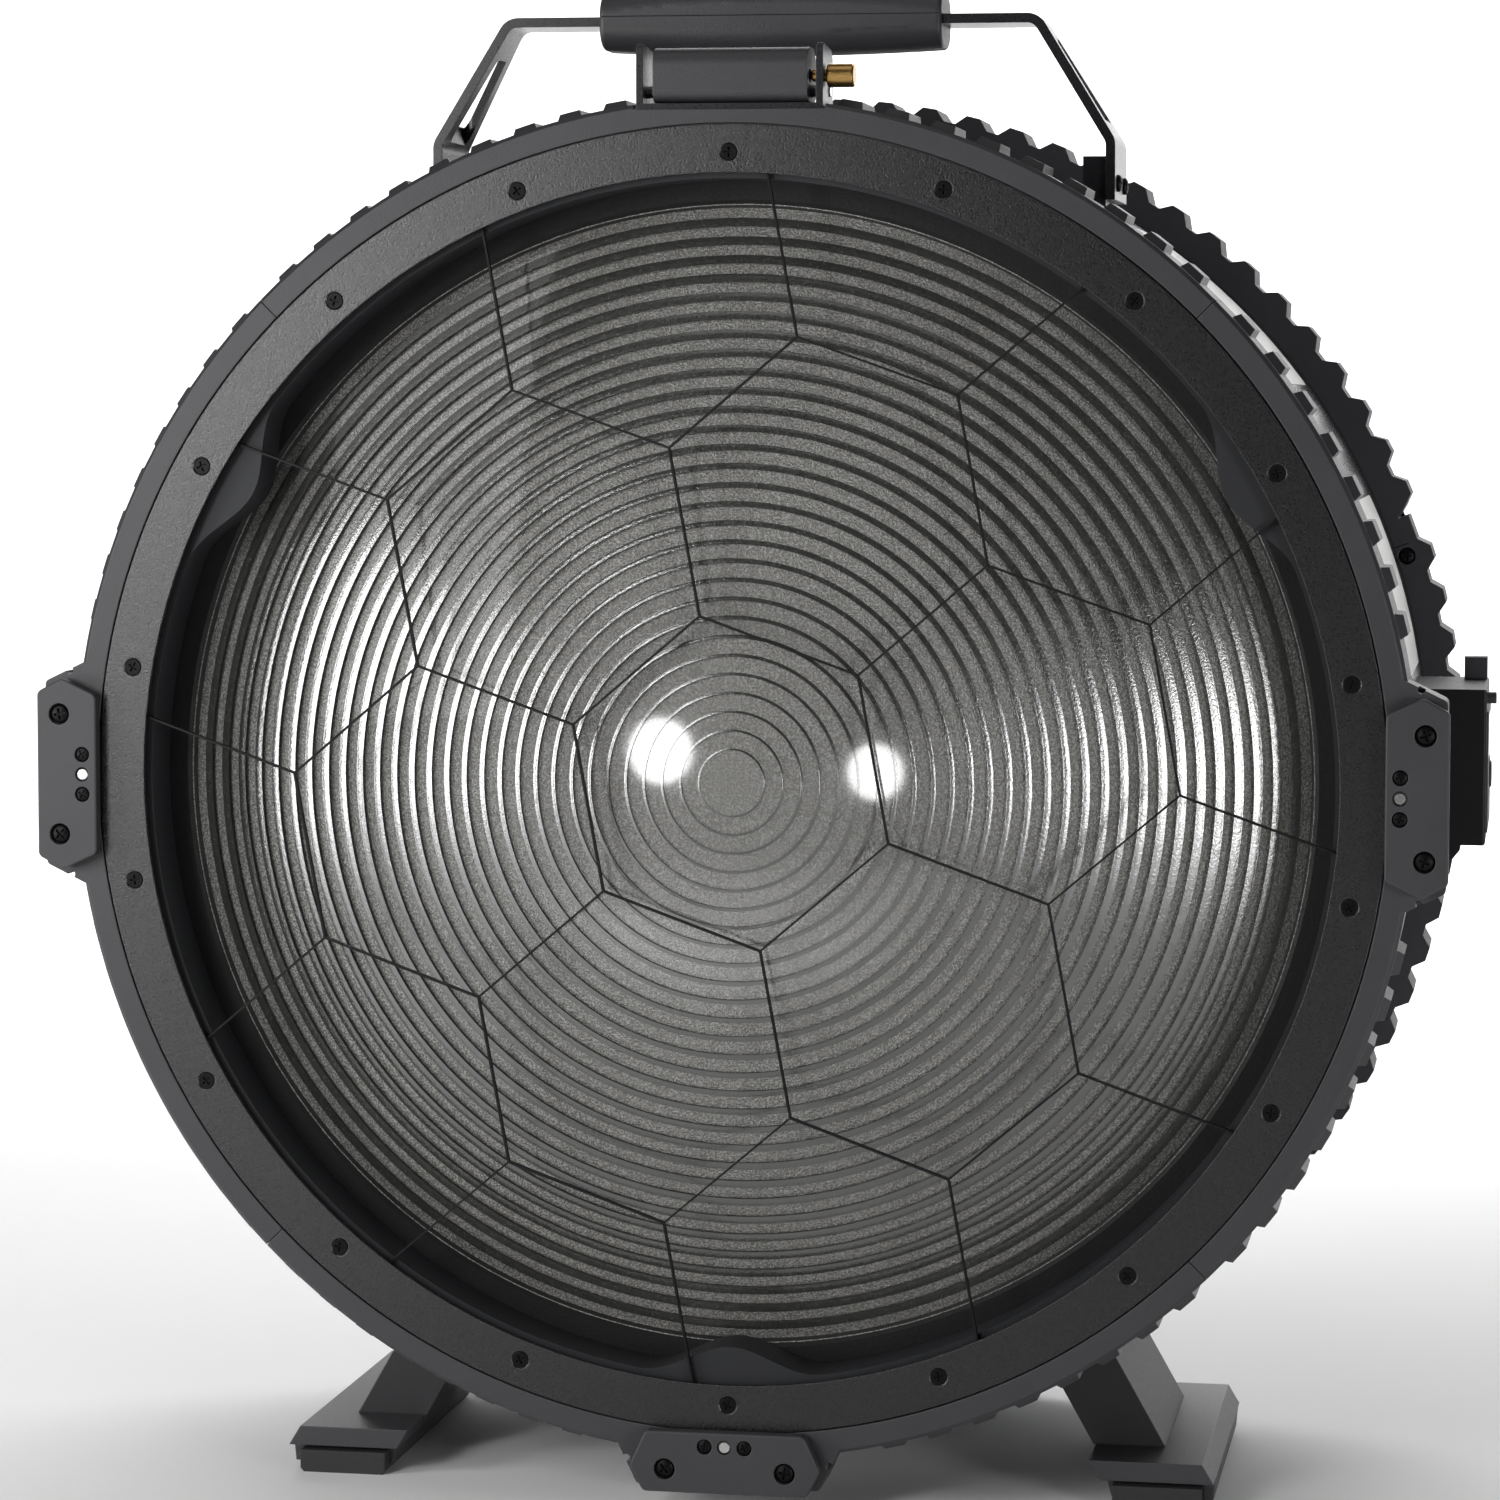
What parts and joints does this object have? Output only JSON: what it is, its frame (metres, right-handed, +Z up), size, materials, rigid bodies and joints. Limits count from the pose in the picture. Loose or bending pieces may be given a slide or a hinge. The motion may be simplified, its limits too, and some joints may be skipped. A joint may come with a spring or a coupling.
{
  "type": "fresnel spotlight head",
  "caption": "Large motorised fresnel lens head with honeycomb wire guard, accessory brackets, carrying handle, feet, side control box and rear source mount",
  "frame": {"origin": "on the optical axis, at the mouth of the rear source mount", "axes": "+Z up, the beam leaves along -Y, the light source joins from +Y, +X is the side of the control box"},
  "size_m": [0.7383, 0.381, 0.7795],
  "materials": {
    "aluminium": "plain machined aluminium",
    "black_metal": "satin black paint",
    "black_plastic": "fine matt black moulding",
    "black_screw": "black oxide, slightly glossy",
    "board": "green circuit board",
    "brass": "turned brass",
    "label": "blank white vinyl",
    "lens_glass": "clear moulded glass with a stippled back",
    "powder_coat": "fine textured matt powder coat, dark grey",
    "rubber": "matt black rubber",
    "satin_housing": "satin moulded plastic, dark grey",
    "steel": "turned steel",
    "window": "glossy black window"
  },
  "bodies": {
    "head": {"accessory_brackets": "satin_housing", "antenna_stub": "black_plastic", "barrel": "black_metal", "bezel_bottom": "satin_housing", "bezel_left": "satin_housing", "bezel_right": "satin_housing", "bezel_top": "satin_housing", "blank_labels": "label", "bracket_screws": "black_screw", "bulkhead": "aluminium", "bumper_screws": "black_screw", "control_board": "board", "control_housing": "satin_housing", "control_panel": "black_plastic", "display_window": "window", "end_sensor": "black_plastic", "foot_pad_left": "rubber", "foot_pad_right": "rubber", "foot_rail_left": "satin_housing", "foot_rail_right": "satin_housing", "foot_strut_left": "satin_housing", "foot_strut_right": "satin_housing", "front_bearing_blocks": "black_plastic", "front_plate": "powder_coat", "front_plate_screws": "black_screw", "grip_lower": "satin_housing", "grip_upper": "satin_housing", "handle_blocks": "black_metal", "handle_screws": "black_screw", "handle_strap": "black_metal", "hood_liner": "black_plastic", "latch_axle": "steel", "latch_clevis": "black_metal", "mount_collar": "black_metal", "pin_screws": "black_screw", "power_socket": "black_plastic", "rear_bearings": "brass", "rear_bumper": "black_plastic", "rear_cover": "black_metal", "rear_screws": "black_screw", "timing_belt": "rubber", "wire_guard": "black_metal", "zoom_motor": "black_metal"},
    "lens_unit": {"fresnel_lens": "lens_glass", "lens_gasket": "rubber", "lens_retaining_ring": "black_metal", "lens_carriage": "aluminium", "lead_nuts": "brass"},
    "lead_screw_1": {"lead_screw_1": "steel"},
    "lead_screw_2": {"lead_screw_2": "steel"},
    "lead_screw_3": {"lead_screw_3": "steel"},
    "motor_rotor": {"motor_pulley": "aluminium"},
    "flap": {"latch_flap": "black_metal"},
    "plunger": {"latch_plunger": "brass"},
    "pin_right": {"bracket_pin_right": "steel"},
    "pin_left": {"bracket_pin_left": "steel"},
    "pin_bottom": {"bracket_pin_bottom": "steel"},
    "lock": {"lock_ring": "black_metal"},
    "dial": {"control_dial": "black_plastic"},
    "mode": {"mode_button": "black_plastic"}
  },
  "joints": [
    {"name": "lens_focus", "type": "slide", "parent": "head", "child": "lens_unit", "axis": [0, 1, 0], "range_m": [0, 0.12]},
    {"name": "lead_screw_1_turn", "type": "hinge", "parent": "head", "child": "lead_screw_1", "pos_m": [0.26933, -0.2, 0.1555], "axis": [0, 1, 0], "range_deg": [0, 2161]},
    {"name": "lead_screw_2_turn", "type": "hinge", "parent": "head", "child": "lead_screw_2", "pos_m": [-0.26933, -0.2, 0.1555], "axis": [0, 1, 0], "range_deg": [0, 2161]},
    {"name": "lead_screw_3_turn", "type": "hinge", "parent": "head", "child": "lead_screw_3", "pos_m": [0, -0.2, -0.311], "axis": [0, 1, 0], "range_deg": [0, 2161]},
    {"name": "motor_turn", "type": "hinge", "parent": "head", "child": "motor_rotor", "pos_m": [0, -0.09, 0.29], "axis": [0, 1, 0], "range_deg": [0, 2161]},
    {"name": "flap_hinge", "type": "hinge", "parent": "head", "child": "flap", "pos_m": [0, -0.3514, 0.346], "axis": [-1, 0, 0], "range_deg": [0, 90]},
    {"name": "plunger_pull", "type": "slide", "parent": "head", "child": "plunger", "axis": [1, 0, 0], "range_m": [0, 0.006], "stiffness_N_per_m": 600},
    {"name": "bracket_pin_right_travel", "type": "slide", "parent": "head", "child": "pin_right", "axis": [0, -1, 0], "range_m": [0, 0.0015], "stiffness_N_per_m": 800},
    {"name": "bracket_pin_left_travel", "type": "slide", "parent": "head", "child": "pin_left", "axis": [0, -1, 0], "range_m": [0, 0.0015], "stiffness_N_per_m": 800},
    {"name": "bracket_pin_bottom_travel", "type": "slide", "parent": "head", "child": "pin_bottom", "axis": [0, -1, 0], "range_m": [0, 0.0015], "stiffness_N_per_m": 800},
    {"name": "lock_turn", "type": "hinge", "parent": "head", "child": "lock", "pos_m": [0, -0.012, 0], "axis": [0, 1, 0], "range_deg": [0, 30]},
    {"name": "dial_turn", "type": "hinge", "parent": "head", "child": "dial", "pos_m": [0.374, -0.236, 0], "axis": [1, 0, 0], "continuous": true},
    {"name": "mode_press", "type": "slide", "parent": "head", "child": "mode", "axis": [-1, 0, 0], "range_m": [0, 0.0012], "stiffness_N_per_m": 700}
  ],
  "couplings": [
    {"joint": "lead_screw_1_turn", "follows": "lens_focus", "rad_per_m": 314.16},
    {"joint": "lead_screw_2_turn", "follows": "lens_focus", "rad_per_m": 314.16},
    {"joint": "lead_screw_3_turn", "follows": "lens_focus", "rad_per_m": 314.16},
    {"joint": "motor_turn", "follows": "lens_focus", "rad_per_m": 314.16}
  ]
}
